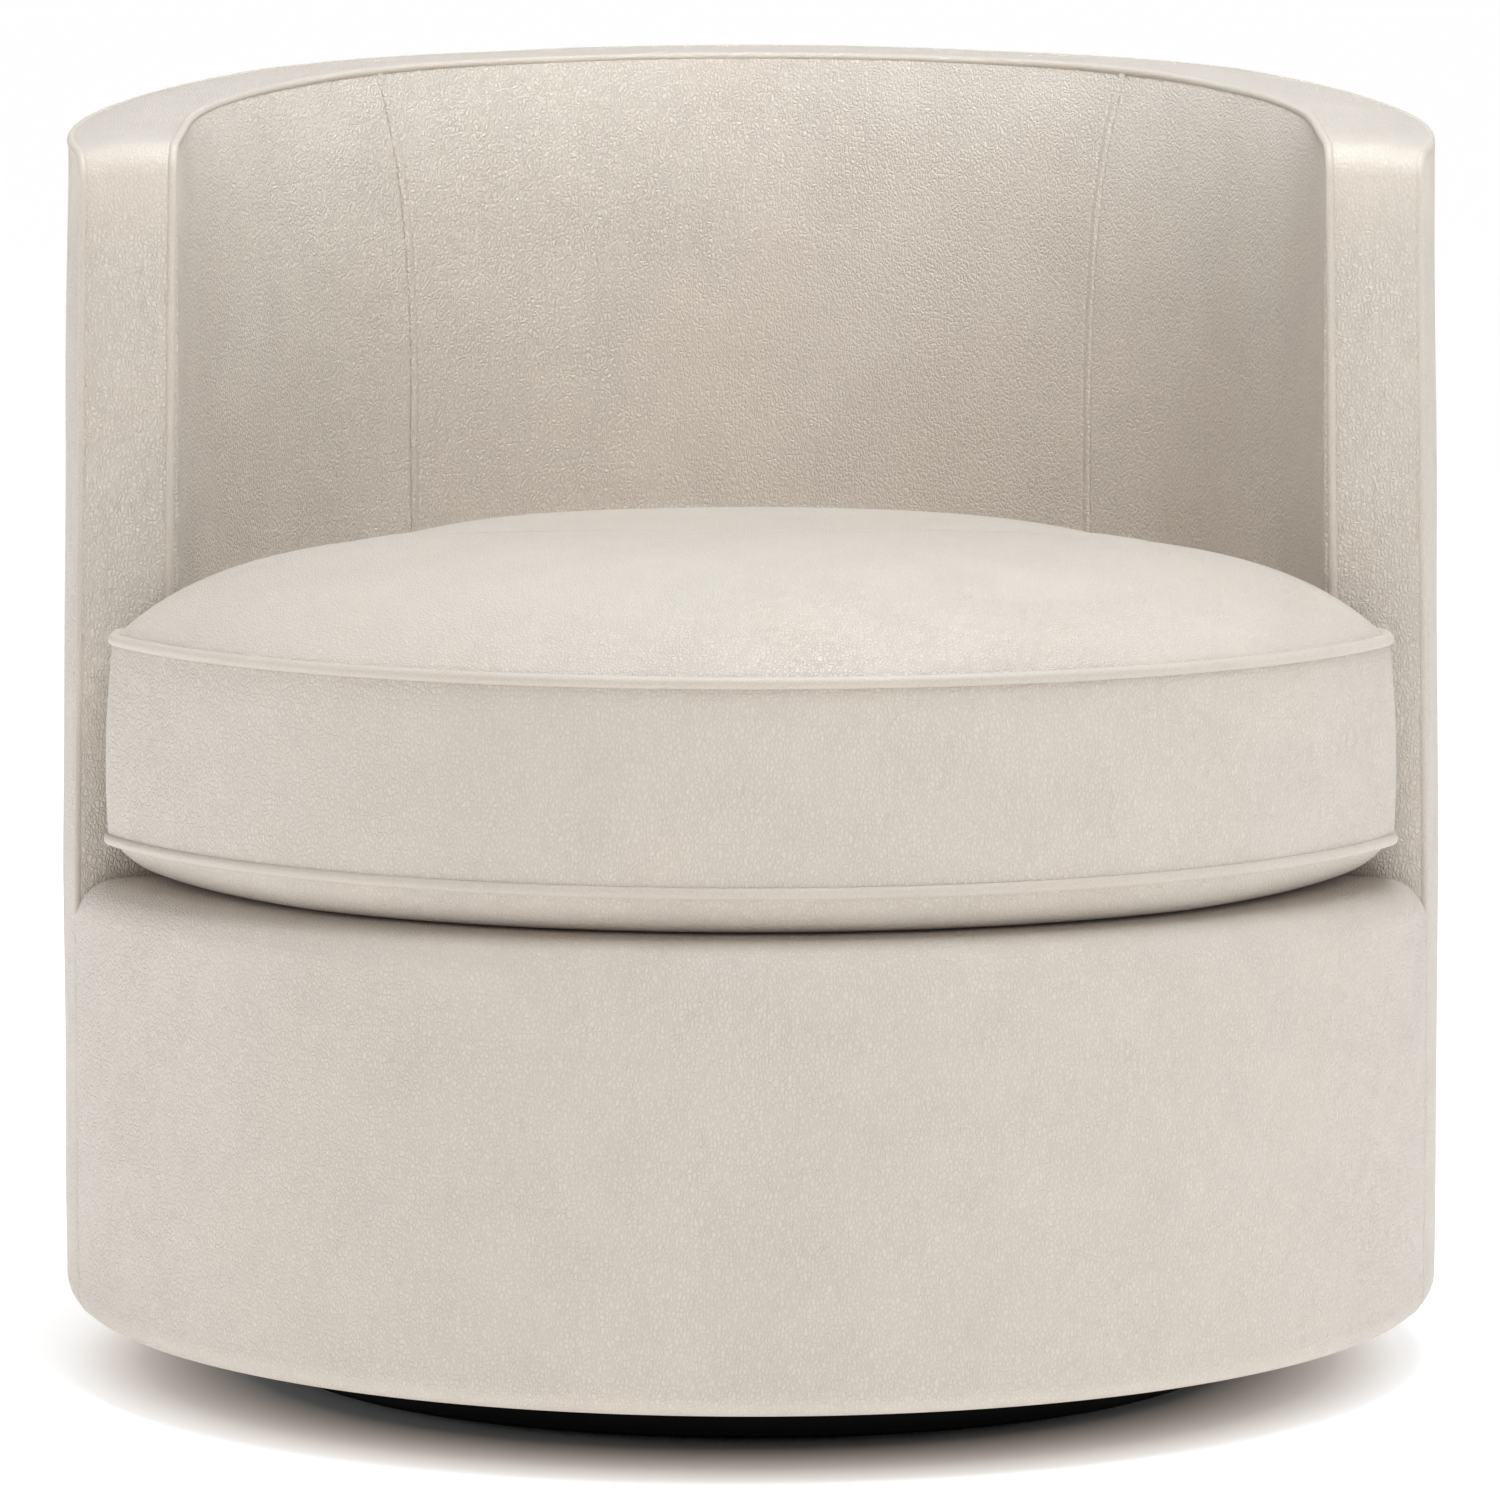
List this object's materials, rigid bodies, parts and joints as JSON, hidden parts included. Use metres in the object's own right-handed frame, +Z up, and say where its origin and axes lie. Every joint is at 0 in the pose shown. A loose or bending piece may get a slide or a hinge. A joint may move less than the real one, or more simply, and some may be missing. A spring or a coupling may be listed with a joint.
{
  "type": "swivel barrel chair",
  "caption": "Barrel swivel chair in leather: a curved padded wall with welted rim and square arm fronts, a loose T cushion, a bowed front panel and a round swivel plinth.",
  "frame": {"origin": "on the floor, on the swivel axis, under the centre of the chair", "axes": "+Z up along the swivel axis; the chair opens towards -Y, its back is at +Y; +X to the right of someone facing the chair"},
  "size_m": [0.814, 0.8129, 0.7709],
  "materials": {
    "leather": "cream full-grain leather with a fine pebbled grain and a low sheen",
    "foam": "polyurethane foam and fibre wadding, unseen inside the leather",
    "felt": "pressed felt pad over the springs",
    "cloth": "black non-woven cloth",
    "zip_tape": "woven zip tape, matched to the leather",
    "plywood": "bare birch plywood and hardwood",
    "hardboard": "bare brown hardboard",
    "plinth_paint": "wood plinth, black satin lacquer",
    "steel": "zinc-plated steel",
    "glide_plastic": "black moulded plastic"
  },
  "bodies": {
    "base": {"plinth": "plinth_paint", "glide_1": "glide_plastic", "glide_2": "glide_plastic", "glide_3": "glide_plastic", "glide_4": "glide_plastic", "swivel_plate_lower": "steel"},
    "cage": {"ball_cage": "steel"},
    "chair": {"swivel_plate_upper": "steel", "bottom_board": "plywood", "seat_ring": "plywood", "post_1": "plywood", "post_2": "plywood", "post_3": "plywood", "post_4": "plywood", "post_5": "plywood", "post_6": "plywood", "front_rib_1": "plywood", "front_rib_2": "plywood", "front_rib_3": "plywood", "top_rail": "plywood", "outer_liner": "hardboard", "inner_liner": "hardboard", "front_liner": "hardboard", "seat_spring_1": "steel", "seat_spring_2": "steel", "seat_spring_3": "steel", "seat_spring_4": "steel", "seat_spring_5": "steel", "spring_clip_front_1": "steel", "spring_clip_front_2": "steel", "spring_clip_front_3": "steel", "spring_clip_front_4": "steel", "spring_clip_front_5": "steel", "spring_clip_back_1": "steel", "spring_clip_back_2": "steel", "spring_clip_back_3": "steel", "spring_clip_back_4": "steel", "spring_clip_back_5": "steel", "seat_pad": "felt", "deck_cloth": "cloth", "back_foam": "foam", "rim_pad": "foam", "front_roll": "foam", "outer_cover": "leather", "rim_cover": "leather", "inside_back_cover": "leather", "inside_arm_cover_left": "leather", "inside_arm_cover_right": "leather", "front_cover": "leather", "outer_welt": "leather", "inner_welt": "leather", "dust_cover": "cloth"},
    "cushion": {"cushion_top": "leather", "cushion_bottom": "leather", "cushion_boxing": "leather", "cushion_core": "foam", "cushion_top_welt": "leather", "cushion_bottom_welt": "leather", "cushion_zip": "zip_tape"}
  },
  "joints": [
    {"name": "swivel", "type": "hinge", "parent": "base", "child": "chair", "pos_m": [0, 0, 0.0331], "axis": [0, 0, 1], "continuous": true},
    {"name": "cage_turn", "type": "hinge", "parent": "base", "child": "cage", "pos_m": [0, 0, 0.0331], "axis": [0, 0, 1], "continuous": true},
    {"name": "cushion_lift", "type": "slide", "parent": "chair", "child": "cushion", "axis": [0, 0, 1], "range_m": [0, 0.45]}
  ],
  "couplings": [
    {"joint": "cage_turn", "follows": "swivel", "ratio": 0.5}
  ]
}
